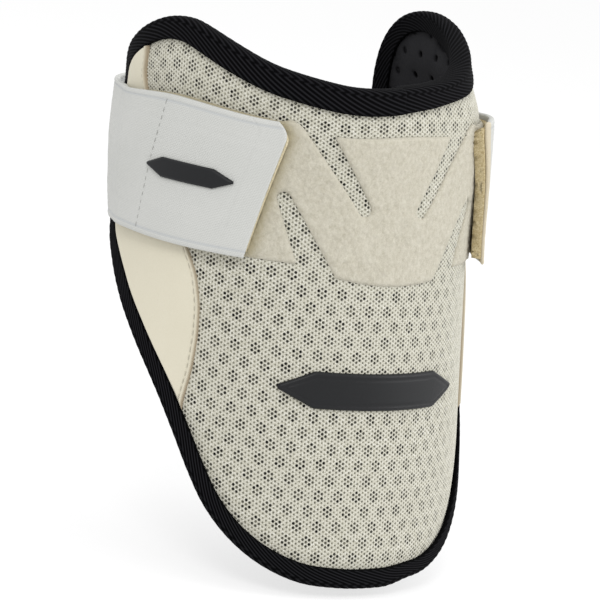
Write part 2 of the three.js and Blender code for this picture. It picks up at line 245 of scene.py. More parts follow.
def smooth_loop(points, steps):
    """A centripetal Catmull-Rom line through a closed row of points."""
    points = np.array(points, float)
    p0, p1 = np.roll(points, 1, 0), points
    p2, p3 = np.roll(points, -1, 0), np.roll(points, -2, 0)
    gap = [np.linalg.norm(b - a, axis=1, keepdims=True) ** 0.5
           for a, b in ((p0, p1), (p1, p2), (p2, p3))]
    start = (p1 - p0) / gap[0] - (p2 - p0) / (gap[0] + gap[1]) + (p2 - p1) / gap[1]
    end = (p2 - p1) / gap[1] - (p3 - p1) / (gap[1] + gap[2]) + (p3 - p2) / gap[2]
    start, end = start * gap[1], end * gap[1]
    t = (np.arange(steps) / steps)[None, :, None]
    a, b, c, d = (x[:, None, :] for x in (p1, p2, start, end))
    line = ((2 * t**3 - 3 * t**2 + 1) * a + (t**3 - 2 * t**2 + t) * c
            + (3 * t**2 - 2 * t**3) * b + (t**3 - t**2) * d)
    return line.reshape(-1, 2)


def run_of(line):
    """The length along a line up to each of its points."""
    return np.concatenate([[0], np.cumsum(np.linalg.norm(np.diff(line, axis=0), axis=1))])


def even_loop(line, count):
    """The same closed line with evenly spaced points."""
    closed = np.vstack([line, line[:1]])
    run = run_of(closed)
    at = np.arange(count) / count * run[-1]
    return np.stack([np.interp(at, run, closed[:, i]) for i in (0, 1)], 1)


right = [outline_point(row, 1) for row in OUTLINE_ROWS]
left = [outline_point(row, -1) for row in OUTLINE_ROWS[1:-1]][::-1]
OUTLINE = smooth_loop((right + left)[::-1], 24)


def inset(line, inward):
    """A closed anticlockwise line, moved inwards."""
    run = np.roll(line, -1, 0) - np.roll(line, 1, 0)
    run /= np.linalg.norm(run, axis=1, keepdims=True)
    return line + np.stack([-run[:, 1], run[:, 0]], 1) * np.asarray(inward)[..., None]


def distance(points, line):
    """How far points lie outside a closed line, negative inside it."""
    best = np.full(len(points), np.inf)
    inside = np.zeros(len(points), bool)
    for a, b in zip(line, np.roll(line, -1, 0)):
        edge, out = b - a, points - a
        share = np.clip(out @ edge / max(edge @ edge, 1e-12), 0, 1)
        best = np.minimum(best, ((out - share[:, None] * edge) ** 2).sum(1))
        crosses = (a[1] > points[:, 1]) != (b[1] > points[:, 1])
        rise = b[1] - a[1] if b[1] != a[1] else 1e-12
        inside ^= crosses & (points[:, 0] < a[0] + (points[:, 1] - a[1]) * edge[0] / rise)
    return np.where(inside, -1, 1) * np.sqrt(best)


def side_panel_front(height):
    rows = np.array(SIDE_PANEL_ROWS) * (WING_REACH, FRONT_HEIGHT)
    return np.interp(height, rows[:, 1], rows[:, 0]) - SIDE_PANEL_SHIFT


def tape_share(points):
    """How wide the tape's face is there, against its full width at the neck."""
    along, height = points.T
    wing = (1 - TAPE_RIGHT_LESS * smooth(along, *TAPE_RIGHT_ALONG)
            - TAPE_LEFT_LESS * smooth(-along, *TAPE_LEFT_OUT))
    low = TAPE_LOW_SHARE - TAPE_CORNER_LESS * right_corner(points)
    return mix(low, wing, smooth(height, *TAPE_WIDENS))


def right_corner(points):
    """1 round the tongue's lower right corner, where the tape is narrow, and 0 away from it."""
    return smooth(points[:, 0], *CORNER_ALONG) * fade(points[:, 1], *CORNER_HEIGHTS)


def pulled_edge(line):
    """The outline as the tape draws it in round the tongue."""
    left = np.where(line[:, 0] < 0, LEFT_PULL, 0) * smooth(line[:, 1], *LEFT_PULL_HEIGHTS)
    pull = TAPE_PULL + left + RIGHT_PULL * right_corner(line)
    return inset(line, pull * fade(line[:, 1], *TAPE_PULL_FADES))


EDGE_LINE = pulled_edge(OUTLINE)
CORE_LINE = even_loop(inset(EDGE_LINE, 0.3), 400)
TAPE_LINE = even_loop(inset(EDGE_LINE, BINDING_WIDTH * tape_share(EDGE_LINE)), 500)


def tape_edge(height, side):
    """Distance from the centreline to the tape's edge, at one height."""
    a, b = TAPE_LINE, np.roll(TAPE_LINE, -1, 0)
    crosses = (a[:, 1] - height) * (b[:, 1] - height) <= 0
    rise = np.where(a[:, 1] == b[:, 1], 1, b[:, 1] - a[:, 1])
    along = a[:, 0] + (height - a[:, 1]) / rise * (b[:, 0] - a[:, 0])
    reach = side * along[crosses]
    return max(reach.max(), 0) if len(reach) else 0


# Meshes
def new_piece(name, pattern, faces, material, marks=None):
    """A smooth-shaded object from pattern points (along, height, proud) and triangles."""
    points = wrapped(*pattern.T) / 1000
    mesh = bpy.data.meshes.new(name)
    mesh.vertices.add(len(points))
    mesh.vertices.foreach_set("co", points.astype(np.float32).ravel())
    mesh.loops.add(faces.size)
    mesh.loops.foreach_set("vertex_index", faces.astype(np.int32).ravel())
    mesh.polygons.add(len(faces))
    mesh.polygons.foreach_set("loop_start", np.arange(0, faces.size, 3, dtype=np.int32))
    place = mesh.attributes.new("pattern", "FLOAT_VECTOR", "POINT")
    place.data.foreach_set("vector", pattern.astype(np.float32).ravel())
    for mark, values in (marks or {}).items():
        held = mesh.attributes.new(mark, "FLOAT", "POINT")
        held.data.foreach_set("value", np.asarray(values, np.float32))
    mesh.update(calc_edges=True)
    mesh.polygons.foreach_set("use_smooth", np.ones(len(faces), bool))
    mesh.materials.append(material)
    obj = bpy.data.objects.new(name, mesh)
    bpy.context.collection.objects.link(obj)
    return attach(obj, "root")


def halves(a, b, c, d):
    """Two triangles for each quad."""
    return np.concatenate([np.stack(corners, -1).reshape(-1, 3)
                           for corners in ((a, b, c), (a, c, d))])


def grid_faces(rows, columns):
    """Triangles of a grid of points stored row by row."""
    at = np.arange(rows * columns).reshape(rows, columns)
    return halves(at[:-1, :-1], at[:-1, 1:], at[1:, 1:], at[1:, :-1])


def strip_faces(first, second):
    """Triangles between two closed rows of points, the first seen below the second."""
    return halves(first, np.roll(first, -1), np.roll(second, -1), second)


def doubled(points, outer, inner):
    """Flat points twice over, at two distances proud of the net."""
    return np.concatenate([np.column_stack([points, np.broadcast_to(proud, len(points))])
                           for proud in (outer, inner)])


def slab(along, height, outer, inner):
    """A closed sheet over a grid, rows going up and columns to the right."""
    along, height, outer, inner = np.broadcast_arrays(along, height, outer, inner)
    rows, columns = along.shape
    count = rows * columns
    pattern = doubled(np.stack([along, height], -1).reshape(-1, 2), outer.ravel(), inner.ravel())
    at = np.arange(count).reshape(rows, columns)
    rim = np.concatenate([at[0, :-1], at[:-1, -1], at[-1, :0:-1], at[:0:-1, 0]])
    faces = np.concatenate([
        grid_faces(rows, columns), grid_faces(rows, columns)[:, ::-1] + count,
        strip_faces(rim + count, rim)])
    return pattern, faces


def mirrored(out, *rest):
    """The same grids on the left side, with their columns still running to the right."""
    return [-out[:, ::-1]] + [grid[:, ::-1] for grid in rest]


def rounded(depth, radius):
    """Share of full thickness at a depth in from a rounded edge."""
    return np.sqrt(1 - (1 - np.clip(depth / radius, 0, 1)) ** 2)


def joined(parts):
    """Several (pattern, faces) as one."""
    starts = np.cumsum([0] + [len(p) for p, _ in parts[:-1]])
    return (np.concatenate([p for p, _ in parts]),
            np.concatenate([f + s for (_, f), s in zip(parts, starts)]))


def cut_patch(reach, low, high, pitch):
    """A lattice of triangles trimmed to where reach(points) is negative."""
    rise = pitch * math.sqrt(0.75)
    rows = int((high[1] - low[1]) / rise) + 3
    columns = int((high[0] - low[0]) / pitch) + 3
    j, i = np.mgrid[0:rows, 0:columns]
    points = np.stack([low[0] + (i + (j % 2) / 2 - 1) * pitch,
                       low[1] + (j - 1) * rise], -1).reshape(-1, 2)
    at = np.arange(rows * columns).reshape(rows, columns)
    even = (np.arange(rows - 1) % 2 == 0)[:, None]
    a, b, c, d = at[:-1, :-1], at[:-1, 1:], at[1:, 1:], at[1:, :-1]
    one = np.where(even[..., None], np.stack([a, b, d], -1), np.stack([a, b, c], -1))
    two = np.where(even[..., None], np.stack([b, c, d], -1), np.stack([a, c, d], -1))
    faces = np.concatenate([one.reshape(-1, 3), two.reshape(-1, 3)])
    away = reach(points)
    near = np.abs(away) < pitch * 0.5
    step = pitch * 0.02
    for _ in range(2):
        held = points[near]
        slope = np.stack([reach(held + (step, 0)) - reach(held - (step, 0)),
                          reach(held + (0, step)) - reach(held - (0, step))], 1)
        slope /= np.maximum(np.linalg.norm(slope, axis=1, keepdims=True), 1e-9)
        points[near] = held - slope * reach(held)[:, None]
    away[near] = 0
    kept = (away[faces] <= 0).all(1)
    kept[kept] = reach(points[faces[kept]].mean(1)) < 0
    used, faces = np.unique(faces[kept], return_inverse=True)
    return points[used], faces.reshape(-1, 3), -away[used]


def rim_edges(faces):
    """The directed edges that only one triangle has."""
    edges = np.concatenate([faces[:, [0, 1]], faces[:, [1, 2]], faces[:, [2, 0]]])
    whole = len(edges) and faces.max() + 1
    code = edges[:, 0] * whole + edges[:, 1]
    return edges[~np.isin(code, edges[:, 1] * whole + edges[:, 0])]


def wall_faces(faces, count):
    """Triangles from the rim of some faces to the same rim, count points later."""
    a, b = rim_edges(faces).T
    return halves(a, a + count, b + count, b)


def closed_patch(points, faces, outer, inner):
    """A closed sheet from flat points and triangles, with both faces' heights."""
    count = len(points)
    return (doubled(points, outer, inner),
            np.concatenate([faces, faces[:, ::-1] + count, wall_faces(faces, count)]))


def welded(pattern, faces, marks, step=1e-3):
    """Joins points that lie together."""
    key = np.round(pattern / step).astype(np.int64)
    _, first, back = np.unique(key, axis=0, return_index=True, return_inverse=True)
    faces = back.ravel()[faces]
    whole = (faces[:, 0] != faces[:, 1]) & (faces[:, 1] != faces[:, 2]) & (faces[:, 0] != faces[:, 2])
    return pattern[first], faces[whole], {k: v[first] for k, v in marks.items()}


# Materials
class Look:
    """A node material, built a node at a time."""

    def __init__(self, name):
        self.material = bpy.data.materials.new(name)
        self.material.use_nodes = True
        self.tree = self.material.node_tree
        self.shader = self.tree.nodes["Principled BSDF"]

    def node(self, kind, settings=None, **inputs):
        made = self.tree.nodes.new("ShaderNode" + kind)
        for key, value in (settings or {}).items():
            setattr(made, key, value)
        for key, value in inputs.items():
            self.put(made, key.replace("_", " "), value)
        return made

    def put(self, node, key, value):
        """Links or sets a socket, named by its label or as i and its number."""
        numbered = key[:1] == "i" and key[1:].isdigit()
        socket = node.inputs[int(key[1:]) if numbered else key]
        if isinstance(value, bpy.types.NodeSocket):
            self.tree.links.new(value, socket)
        else:
            socket.default_value = value

    def set(self, **inputs):
        for key, value in inputs.items():
            self.put(self.shader, key.replace("_", " "), value)

    def mark(self, name):
        return self.node("Attribute", {"attribute_name": name}).outputs["Fac"]

    def place(self, scale=(1, 1, 1)):
        found = self.node("Attribute", {"attribute_name": "pattern"}).outputs["Vector"]
        return self.node("Mapping", Vector=found, Scale=scale).outputs[0]

    def times(self, a, b):
        return self.node("Math", {"operation": "MULTIPLY"}, i0=a, i1=b).outputs[0]

    def plus(self, a, b):
        return self.node("Math", {"operation": "ADD"}, i0=a, i1=b).outputs[0]

    def bands(self, where, direction, scale, distortion):
        return self.node("TexWave", {"wave_type": "BANDS", "bands_direction": direction},
                         Vector=where, Scale=scale, Distortion=distortion, Detail=2.0,
                         Detail_Scale=3.0).outputs["Fac"]

    def noise(self, where, scale, detail=2.0, rough=0.5):
        return self.node("TexNoise", Vector=where, Scale=scale, Detail=detail,
                         Roughness=rough).outputs[0]

    def ramp(self, value, low, high, to_low=0.0, to_high=1.0):
        return self.node("MapRange", Value=value, From_Min=low, From_Max=high,
                         To_Min=to_low, To_Max=to_high).outputs[0]

    def blend(self, share, a, b):
        return self.node("Mix", {"data_type": "RGBA"}, i0=share, i6=a, i7=b).outputs[2]

    def bump(self, height, strength, depth):
        made = self.node("Bump", Height=height, Strength=strength, Distance=depth)
        self.put(self.shader, "Normal", made.outputs[0])
        return self.material


LIGHT = 1.28                    # how much brighter than its own colour a lit surface looks


def colour(red, green, blue):
    """The shader colour that looks like these 0 to 255 screen values in the studio light."""
    linear = [(c / 255 / 12.92) if c <= 10 else ((c / 255 + 0.055) / 1.055) ** 2.4
              for c in (red, green, blue)]
    return (*(c / LIGHT for c in linear), 1.0)


def net_look():
    look = Look("net_cloth")
    pit = look.mark("pit")
    dark = look.mark("dark")
    where = look.place()
    cloudy = look.noise(where, 0.06, 3.0)
    base = look.blend(cloudy, colour(226, 223, 210), colour(234, 232, 221))
    grain = look.noise(where, 2.6, 3.0, 0.65)
    base = look.blend(look.ramp(grain, 0.36, 0.60, 0.0, 0.75), base, colour(176, 173, 152))
    base = look.blend(look.ramp(grain, 0.44, 0.30, 0.0, 0.8), base, colour(250, 249, 242))
    # The hole floors darken: partly the dark layer under the net seen through the holes, partly painted
    # shade in the holes.
    depth = look.ramp(pit, 0.08, 0.34)
    under = look.blend(dark, colour(190, 187, 168), colour(12, 12, 10))
    look.set(Base_Color=look.blend(depth, base, under), Roughness=0.85)
    look.set(Sheen_Weight=0.1, Sheen_Roughness=0.5, Specular_IOR_Level=0.2)
    return look.bump(grain, 0.5, 0.0002)


def lining_look():
    look = Look("lining_knit")
    where = look.place()
    grain = look.noise(where, 1.8, 4.0, 0.7)
    base = look.blend(grain, colour(30, 30, 32), colour(50, 50, 53))
    # The vents turn near black towards their floors: painted shade in the vents.
    look.set(Base_Color=look.blend(look.ramp(look.mark("pit"), 0.1, 0.6), base, colour(8, 8, 9)),
             Roughness=0.9, Specular_IOR_Level=0.15)
    return look.bump(grain, 0.6, 0.0003)


def tape_look():
    look = Look("tape_twill")
    rib = look.mark("rib")
    grain = look.noise(look.place(), 3.0, 2.0)
    # Lighter on the rib crests, near black elsewhere: a painted highlight on the twill ribs.
    base = look.blend(look.ramp(rib, 0.4, 1.0), colour(1, 1, 2), colour(36, 36, 39))
    look.set(Base_Color=base, Roughness=0.85, Specular_IOR_Level=0.05)
    return look.bump(grain, 0.35, 0.0002)


def side_look():
    look = Look("side_cloth")
    where = look.place()
    cloudy = look.noise(where, 0.05, 3.0)
    base = look.blend(cloudy, colour(224, 218, 197), colour(232, 226, 207))
    fine = look.noise(look.place((3.0, 1.2, 3.0)), 1.6, 3.0, 0.6)
    base = look.blend(look.ramp(fine, 0.3, 0.8, 0.0, 0.4), base, colour(208, 201, 177))
    look.set(Base_Color=look.blend(look.times(look.mark("line"), 0.75), base,
                                   colour(150, 128, 98)),
             Roughness=0.7, Sheen_Weight=0.1, Specular_IOR_Level=0.2)
    return look.bump(fine, 0.35, 0.0002)


def loop_look():
    look = Look("loop_pile")
    where = look.place()
    fleece = look.noise(look.place((1.0, 0.7, 1.0)), 0.9, 6.0, 0.75)
    fine = look.noise(where, 3.5, 3.0, 0.7)
    base = look.blend(look.ramp(fleece, 0.3, 0.7), colour(185, 178, 156), colour(223, 218, 202))
    base = look.blend(look.ramp(fine, 0.35, 0.75, 0.0, 0.5), base, colour(238, 234, 219))
    # A painted shadow of the strap's left end, darker tan on the panel.
    base = look.blend(look.mark("painted_shadow"), base, colour(172, 160, 124))
    look.set(Base_Color=base, Roughness=1.0, Sheen_Weight=0.15, Sheen_Roughness=0.6,
             Specular_IOR_Level=0.1)
    return look.bump(look.plus(fleece, look.times(fine, 0.6)), 0.8, 0.0006)


def strap_look():
    look = Look("strap_weave")
    where = look.place()
    cross = look.bands(where, "Y", 0.55, 0.6)
    upright = look.bands(where, "X", 0.42, 0.5)
    weave = look.plus(cross, look.times(upright, 0.7))
    base = look.blend(look.ramp(weave, 0.2, 1.5), colour(200, 201, 197), colour(215, 216, 212))
    cloudy = look.noise(where, 0.05, 2.0)
    base = look.blend(look.ramp(cloudy, 0.3, 0.7, 0.0, 0.3), base, colour(219, 219, 216))
    base = look.blend(look.times(look.mark("band"), 0.55), base, colour(184, 189, 194))
    base = look.blend(look.times(look.mark("tan"), 0.8), base, colour(214, 200, 170))
    look.set(Base_Color=base, Roughness=0.8, Sheen_Weight=0.1, Specular_IOR_Level=0.2)
    return look.bump(weave, 0.35, 0.00025)


def hook_look(name, dark, light):
    look = Look(name)
    grain = look.noise(look.place(), 1.8, 3.0, 0.6)
    look.set(Base_Color=look.blend(look.ramp(grain, 0.3, 0.7), dark, light),
             Roughness=0.8, Specular_IOR_Level=0.3)
    return look.bump(grain, 0.8, 0.0006)


def badge_look():
    look = Look("badge_rubber")
    grain = look.noise(look.place(), 1.2, 3.0)
    look.set(Base_Color=look.blend(grain, colour(24, 25, 27), colour(31, 32, 34)),
             Roughness=look.ramp(grain, 0.3, 0.7, 0.4, 0.5), Specular_IOR_Level=0.22)
    return look.bump(grain, 0.08, 0.0002)


def thread_look(name, tone):
    look = Look(name)
    twist = look.noise(look.place(), 4.0, 2.0)
    look.set(Base_Color=look.blend(twist, tone, tuple(c * 0.75 for c in tone[:3]) + (1.0,)),
             Roughness=0.7, Sheen_Weight=0.2)
    return look.bump(twist, 0.4, 0.0001)


NET, LINING, TAPE, SIDE = net_look(), lining_look(), tape_look(), side_look()
LOOP, STRAP, BADGE = loop_look(), strap_look(), badge_look()
HOOK_EDGE = hook_look("hook_edge", colour(206, 190, 148), colour(236, 226, 196))
HOOK_FIELD = hook_look("hook_field", colour(170, 150, 104), colour(222, 207, 168))
PALE_THREAD = thread_look("pale_thread", colour(214, 208, 190))
STRAP_THREAD = thread_look("strap_thread", colour(178, 178, 174))

# Faces with holes: cells of a staggered lattice, each with one pit
HEXAGON = np.array([(2, 0), (1, 1), (-1, 1), (-2, 0), (-1, -1), (1, -1)]) / (3, 2)


def pitted_face(low, high, column, pitch, wanted, surface, pit, sides=6):
    """Cells column apart along and pitch apart up, every other column half a pitch higher.
    wanted(centres) keeps cells, surface(along, height) is proud, and pit(centres) gives the
    rings of a pit as (radius, depth), the depth of its floor, and its marks."""
    i, j = np.mgrid[int(low[0] / column):int(high[0] / column) + 1,
                    int(low[1] / pitch) - 1:int(high[1] / pitch) + 1]
    centres = np.stack([i * column, (j + (i % 2) / 2) * pitch], -1).reshape(-1, 2).astype(float)
    centres = centres[wanted(centres)]
    corner = HEXAGON * (column, pitch)
    if sides == 12:
        corner = np.stack([corner, (corner + np.roll(corner, -1, 0)) / 2], 1).reshape(-1, 2)
    rim = centres[:, None] + corner
    direction = corner / np.linalg.norm(corner, axis=1, keepdims=True)
    rings, floor, marks = pit(centres)
    rows = [np.dstack([rim, surface(rim[..., 0], rim[..., 1])])]
    for radius, depth in rings:
        ring = centres[:, None] + direction * np.asarray(radius)[:, None, None]
        rows.append(np.dstack([
            ring, surface(ring[..., 0], ring[..., 1]) - np.asarray(depth)[:, None]]))
    middle = np.column_stack([centres, surface(centres[:, 0], centres[:, 1]) - floor])[:, None]
    pattern = np.concatenate(rows + [middle], 1)
    each = pattern.shape[1]
    at = np.arange(len(centres))[:, None] * each
    faces = []
    k = np.arange(sides)
    turn = (k + 1) % sides
    for ring in range(len(rings)):
        a, b = ring * sides + k, ring * sides + turn
        c, d = (ring + 1) * sides + turn, (ring + 1) * sides + k
        faces.append(halves(at + a, at + b, at + c, at + d))
    last = len(rings) * sides
    faces.append(np.stack([at + last + k, at + last + turn, at + each - 1 + 0 * k], -1))
    faces = np.concatenate([f.reshape(-1, 3) for f in faces])
    share = np.zeros((len(centres), each))
    share[:, -1] = 1
    for ring in range(1, len(rings)):
        share[:, (ring + 1) * sides:(ring + 2) * sides] = ring / len(rings)
    held = {"pit": share.ravel()}
    for name, values in marks.items():
        held[name] = np.repeat(values, each)
    return welded(pattern.reshape(-1, 3), faces, held)


# Net cover
NET_COLUMN = 1.22               # between two columns of holes
NET_PITCH = 1.56                # between two holes of a column
CLUSTER_COLUMNS = 6             # between two dark clusters of a row
CLUSTER_ROWS = 3.5              # between two rows of clusters
CORE_DEPTH = 1.1                # of the pad's face below the net
CORE_PITCH = 3.0
NET_UNDER_TAPE = 1.1            # how far its cells go on under the tape
NET_UNDER_PANELS = 1.3
NET_UNDER_HOOKS = (4, 7)        # from the hook tape's end and from the strap's edge
SWELL_PITCH = 5.0               # of the cloth that is blown up against the tape's line
SWELL_HEIGHT = 0.7
SWELL_FRAMES = 20
SWELL_PRESSURE = 2.0


def swell_grid():
    """Heights of a cloth held outside the tape's line and blown up by an even pressure."""
    low, high = TAPE_LINE.min(0) - 2 * SWELL_PITCH, TAPE_LINE.max(0) + 3 * SWELL_PITCH
    x, y = (np.arange(a, b, SWELL_PITCH) for a, b in zip(low, high))
    along, height = np.meshgrid(x, y)
    points = np.column_stack([along.ravel(), height.ravel()])
    inward = -distance(points, TAPE_LINE)
    mesh = bpy.data.meshes.new("swell")
    at = np.arange(along.size).reshape(along.shape)
    quads = np.stack([at[:-1, :-1], at[:-1, 1:], at[1:, 1:], at[1:, :-1]], -1).reshape(-1, 4)
    mesh.from_pydata(np.column_stack([points / 1000, 0 * inward]).tolist(), [], quads.tolist())
    cloth = bpy.data.objects.new("swell", mesh)
    bpy.context.collection.objects.link(cloth)
    cloth.vertex_groups.new(name="held").add(
        [int(k) for k in np.flatnonzero(inward < 0)], 1.0, "REPLACE")
    made = cloth.modifiers.new("cloth", "CLOTH")
    made.settings.vertex_group_mass = "held"
    made.settings.use_pressure = True
    made.settings.uniform_pressure_force = SWELL_PRESSURE
    made.settings.effector_weights.gravity = 0.0
    for frame in range(1, SWELL_FRAMES + 1):
        bpy.context.scene.frame_set(frame)
    shown = cloth.evaluated_get(bpy.context.evaluated_depsgraph_get()).data
    z = np.empty(len(points) * 3)
    shown.vertices.foreach_get("co", z)
    z = np.abs(z[2::3])
    bpy.data.objects.remove(cloth)
    bpy.data.meshes.remove(mesh)
    bpy.context.scene.frame_set(1)
    return x, y, (SWELL_HEIGHT * z / max(z.max(), 1e-9)).reshape(along.shape)


SWELL = swell_grid()


def swell(along, height):
    x, y, grid = SWELL
    i = np.clip((along - x[0]) / SWELL_PITCH, 0, len(x) - 1.001)
    j = np.clip((height - y[0]) / SWELL_PITCH, 0, len(y) - 1.001)
    a, b = i.astype(int), j.astype(int)
    return mix(mix(grid[b, a], grid[b, a + 1], i - a),
               mix(grid[b + 1, a], grid[b + 1, a + 1], i - a), j - b)


def puff(along, height):
    """The pad's face: drawn in at the tape, and swollen as the cloth above."""
    points = np.stack([np.ravel(along), np.ravel(height)], 1)
    inward = -distance(points, TAPE_LINE).reshape(np.shape(along))
    return mix(-0.5, 0.15, smooth(inward, -1.0, 5.0)) + swell(np.asarray(along), np.asarray(height))


def panel_reach(points):
    """How far points lie outside the loop panel with its slots, negative inside it."""
    away = distance(points, LOOP_EDGE)
    for line in SLOT_EDGES:
        away = np.maximum(away, -distance(points, line))
    return away


PANEL_PEAK = 3.5                # of the corner that stands up beside the strap's end
PANEL_PEAK_OUT = 40
PANEL_PEAK_WIDTH = 4.0


def loop_panel_top(out):
    lift = smooth(out, PANEL_HALF_SPAN, PANEL_HALF_SPAN + PANEL_SHOULDER)
    peak = PANEL_PEAK * bell(out - PANEL_PEAK_OUT, PANEL_PEAK_WIDTH)
    return mix(PANEL_WAIST_TOP, STRAP_TOP, lift) + peak


def loop_panel_bottom(out):
    return mix(PANEL_WAIST_BOTTOM, STRAP_BOTTOM, np.minimum(out / PANEL_HALF_SPAN, 1) ** 2)


def loop_panel_edge():
    end_low = side_panel_front(STRAP_BOTTOM) - LAYER_GAP
    end_high = side_panel_front(STRAP_TOP) - LAYER_GAP
    bottom = np.linspace(-end_low, end_low, 90)
    top = np.linspace(end_high, -end_high, 90)
    up = np.linspace(STRAP_BOTTOM, STRAP_TOP, 20)[1:-1]
    sides = side_panel_front(up) - LAYER_GAP
    return np.concatenate([
        np.column_stack([bottom, loop_panel_bottom(np.abs(bottom))]),
        np.column_stack([sides, up]),
        np.column_stack([top, loop_panel_top(np.abs(top))]),
        np.column_stack([-sides, up])[::-1]])


def slot_edge(side, closed, opened, wide):
    tall = PANEL_WAIST_TOP - PANEL_WAIST_BOTTOM
    ends = [np.array((side * a * PANEL_HALF_SPAN, PANEL_WAIST_BOTTOM + h * tall))
            for a, h in (closed, opened)]
    run = ends[1] - ends[0]
    run /= np.linalg.norm(run)
    across = np.array((-run[1], run[0]))
    turn = np.linspace(math.pi / 2, 1.5 * math.pi, 9)
    tip = [ends[0] + SLOT_WIDTH / 2 * (math.cos(t) * run + math.sin(t) * across) for t in turn]
    mouth = [ends[1] - across * wide / 2, ends[1] + across * wide / 2]
    return np.array(tip + mouth)


LOOP_EDGE = loop_panel_edge()
SLOT_EDGES = [slot_edge(side, *slot, wide) for side in (-1, 1) for slot, wide in zip(SLOTS, SLOT_MOUTH)]


def net_wanted(centres):
    """Cells that show: not deep under the tape, a side panel, the loop panel or hook tape."""
    inward = -distance(centres, TAPE_LINE)
    out = np.abs(centres[:, 0])
    side = out - side_panel_front(centres[:, 1])
    end, edge = NET_UNDER_HOOKS
    hooks = np.minimum(out - STRAP_END_BOTTOM, STRAP_END_BOTTOM + HOOK_LENGTH - out) > end
    hooks &= np.abs(centres[:, 1] - STRAP_CENTRE) < STRAP_WIDTH / 2 - edge
    panels = (side < NET_UNDER_PANELS) & (panel_reach(centres) > -NET_UNDER_PANELS)
    return (inward > -NET_UNDER_TAPE) & panels & ~hooks


def net_pit(centres):
    column = np.round(centres[:, 0] / NET_COLUMN).astype(int)
    row = centres[:, 1] / NET_PITCH
    nearest = np.full(len(centres), np.inf)
    across = CLUSTER_COLUMNS * NET_COLUMN
    up = CLUSTER_ROWS * NET_PITCH
    for shift in (0, 1):
        x = (column * NET_COLUMN - shift * across / 2) / across
        y = (row * NET_PITCH - shift * up) / (2 * up)
        gap = np.hypot((x - np.round(x)) * across, (y - np.round(y)) * 2 * up)
        nearest = np.minimum(nearest, gap)
    draw = chance.random(len(centres))
    middle = nearest < 0.4 * NET_PITCH
    ring = ~middle & (nearest < 1.15 * NET_PITCH)
    # How dark each hole's floor is, darkest in the clusters: partly the dark layer under the net,
    # partly painted shade.
    dark = np.select([ring, middle], [0.7 + 0.3 * draw, 0.45 + 0.5 * draw], 0.25 + 0.35 * draw)
    radius = np.where(ring | middle, 0.66 + 0.08 * draw, 0.48 + 0.10 * draw)
    depth = np.where(ring | middle, 0.95, 0.55)
    return [(radius, np.zeros(len(centres)))], depth, {"dark": dark}


def core_reach(points):
    return distance(points, CORE_LINE)


def pad_piece(name, face, foot, core, material):
    """One mesh: a pitted face, its skirt down to foot, and a closed core behind it."""
    pattern, faces, marks = face
    count = len(pattern)
    skirt = pattern.copy()
    skirt[:, 2] = foot
    shell = (np.concatenate([pattern, skirt]),
             np.concatenate([faces, wall_faces(faces, count)]))
    points, flat, _ = cut_patch(core_reach, OUTLINE.min(0), OUTLINE.max(0), CORE_PITCH)
    whole, faces = joined([shell, closed_patch(points, flat, *core)])
    used, faces = np.unique(faces, return_inverse=True)
    extra = np.zeros(len(whole) - 2 * count)
    held = {k: np.concatenate([v, v * 0, extra])[used] for k, v in marks.items()}
    return new_piece(name, whole[used], faces.reshape(-1, 3), material, held)


def net_cover():
    face = pitted_face(
        OUTLINE.min(0), OUTLINE.max(0), NET_COLUMN, NET_PITCH, net_wanted, puff, net_pit)
    core = (-CORE_DEPTH, -COVER_THICKNESS)
    obj = pad_piece("net_cover", face, -CORE_DEPTH - 0.3, core, NET)
    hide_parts("mesh_cover")
    return obj


# Foam lining: seen from the arm's side, with a vent in each cell
VENT_ALONG = 12.4
VENT_UP = 8.3
VENT_RADIUS = 1.2
VENT_DEPTH = 3.6


def lining_face():
    """Built with its axes swapped, because its rows are staggered and not its columns."""
    top = -COVER_THICKNESS - LAYER_GAP - LINING_THICKNESS
    lining_line = even_loop(inset(EDGE_LINE, 4.0), 400)
    outer_line = even_loop(EDGE_LINE, 400)

    def wanted(centres):
        return -distance(centres[:, ::-1], lining_line) > 0.5

    def surface(up, along):
        points = np.stack([np.ravel(along), np.ravel(up)], 1)
        inward = -distance(points, outer_line).reshape(np.shape(up))
        return top + EDGE_SQUEEZE * fade(inward, 5, 18)

    def pit(centres):
        ones = np.ones(len(centres))
        rings = [(1.75 * VENT_RADIUS * ones, 0 * ones), (1.15 * VENT_RADIUS * ones, -0.35 * ones),
                 (VENT_RADIUS * ones, -1.0 * ones), (0.95 * VENT_RADIUS * ones, -VENT_DEPTH * ones)]
        return rings, -VENT_DEPTH * ones, {}

    low, high = OUTLINE.min(0)[::-1], OUTLINE.max(0)[::-1]
    pattern, faces, marks = pitted_face(
        low, high, VENT_UP, VENT_ALONG, wanted, surface, pit, sides=12)
    return pattern[:, [1, 0, 2]], faces, marks


def foam_lining():
    face = lining_face()
    outer = -COVER_THICKNESS - LAYER_GAP
    core = (outer, outer - 0.9)
    obj = pad_piece("lining_pad", face, face[0][:, 2] + 2.0, core, LINING)
    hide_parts("foam_lining")
    return obj


# Edge binding: a ribbed tape folded over the edge
BINDING_STEPS = 1500
RIB_PITCH = 3.6
RIB_LEAN = -2.3                 # how far a rib runs along while it crosses its own width
RIB_HEIGHT = 0.14
TAPE_TURN = 0.4                 # inward distance at which the tape begins to turn over the edge


